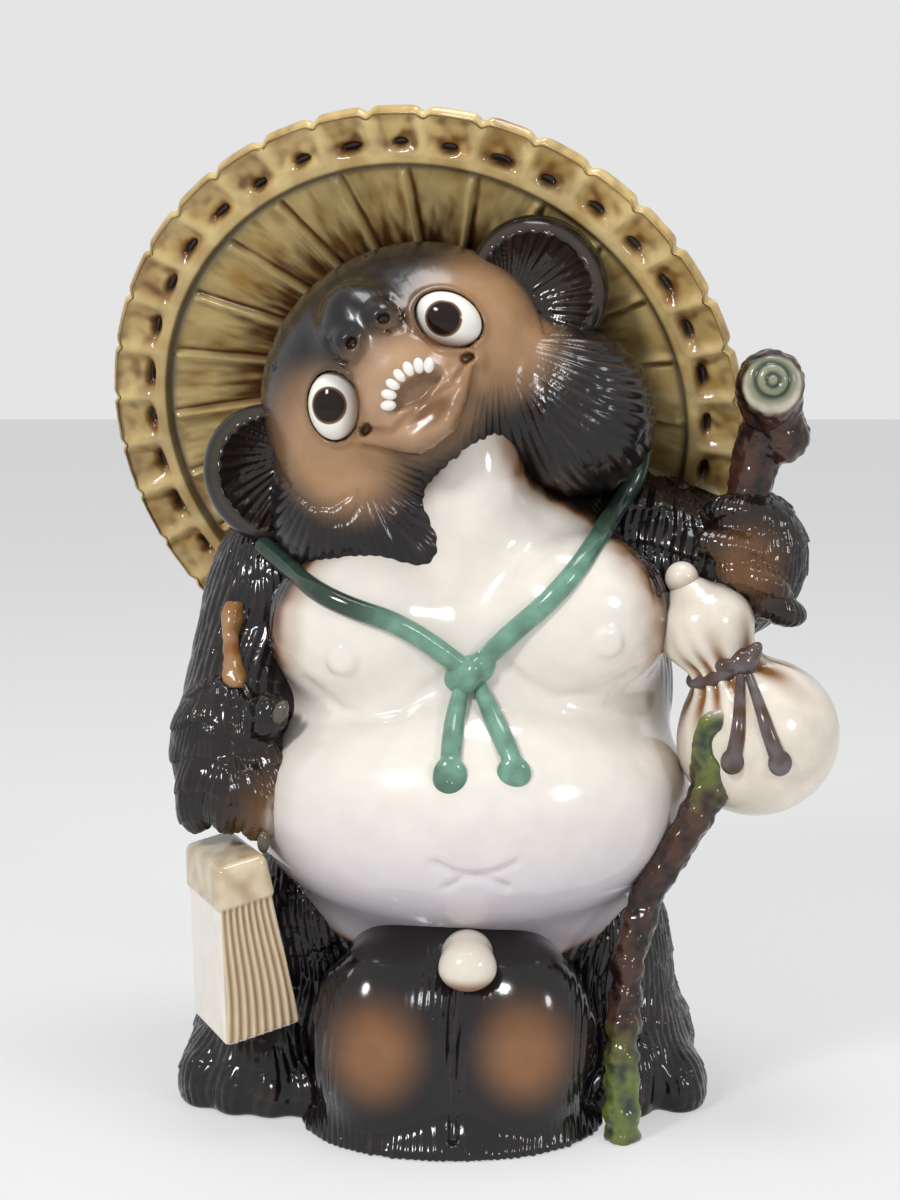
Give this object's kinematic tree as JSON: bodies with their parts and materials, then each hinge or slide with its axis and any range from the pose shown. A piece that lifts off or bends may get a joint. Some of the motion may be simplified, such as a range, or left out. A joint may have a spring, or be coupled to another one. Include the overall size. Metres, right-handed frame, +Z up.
{
  "type": "tanuki statue",
  "caption": "Glazed stoneware raccoon-dog figure with a straw hat behind its tilted head, a gourd, a staff and an account book, hollow and open underneath to stand on its foot rim.",
  "frame": {"origin": "middle of the figure's outline on the surface that it stands on", "axes": "+Z up, the face towards -Y, the figure's own left at +X"},
  "size_m": [0.2735, 0.1722, 0.3584],
  "materials": {
    "hat_glaze": "glossy ochre glaze pooling amber in the hollows",
    "body_glaze": "glossy cream white glaze",
    "face_glaze": "glossy tan and black sprayed glaze",
    "fur_glaze": "glossy black brown glaze over combed clay",
    "eye_glaze": "glossy white glaze with dark pupils",
    "tooth_glaze": "glossy white glaze",
    "cord_glaze": "glossy celadon green glaze",
    "staff_glaze": "glossy red brown and olive glaze",
    "gourd_glaze": "glossy cream glaze with brown folds",
    "gourd_cord_glaze": "glossy grey brown glaze",
    "book_glaze": "glossy white glaze",
    "sack_glaze": "glossy black glaze with sprayed tan spots"
  },
  "bodies": {
    "root": {"account_book": "book_glaze", "arm_twig": "staff_glaze", "body": "body_glaze", "cord_knot": "cord_glaze", "gourd": "gourd_glaze", "gourd_cord": "gourd_cord_glaze", "gourd_stopper": "gourd_glaze", "hat": "hat_glaze", "head": "face_glaze", "left_arm": "fur_glaze", "left_cord": "cord_glaze", "left_cord_tail": "cord_glaze", "left_ear": "fur_glaze", "left_eye": "eye_glaze", "left_foot": "fur_glaze", "left_gourd_tail": "gourd_cord_glaze", "left_paw": "fur_glaze", "money_sack": "sack_glaze", "right_arm": "fur_glaze", "right_cord": "cord_glaze", "right_cord_tail": "cord_glaze", "right_ear": "fur_glaze", "right_eye": "eye_glaze", "right_foot": "fur_glaze", "right_gourd_tail": "gourd_cord_glaze", "right_paw": "fur_glaze", "staff": "staff_glaze", "stub": "book_glaze", "tail": "fur_glaze", "teeth": "tooth_glaze"}
  },
  "joints": []
}
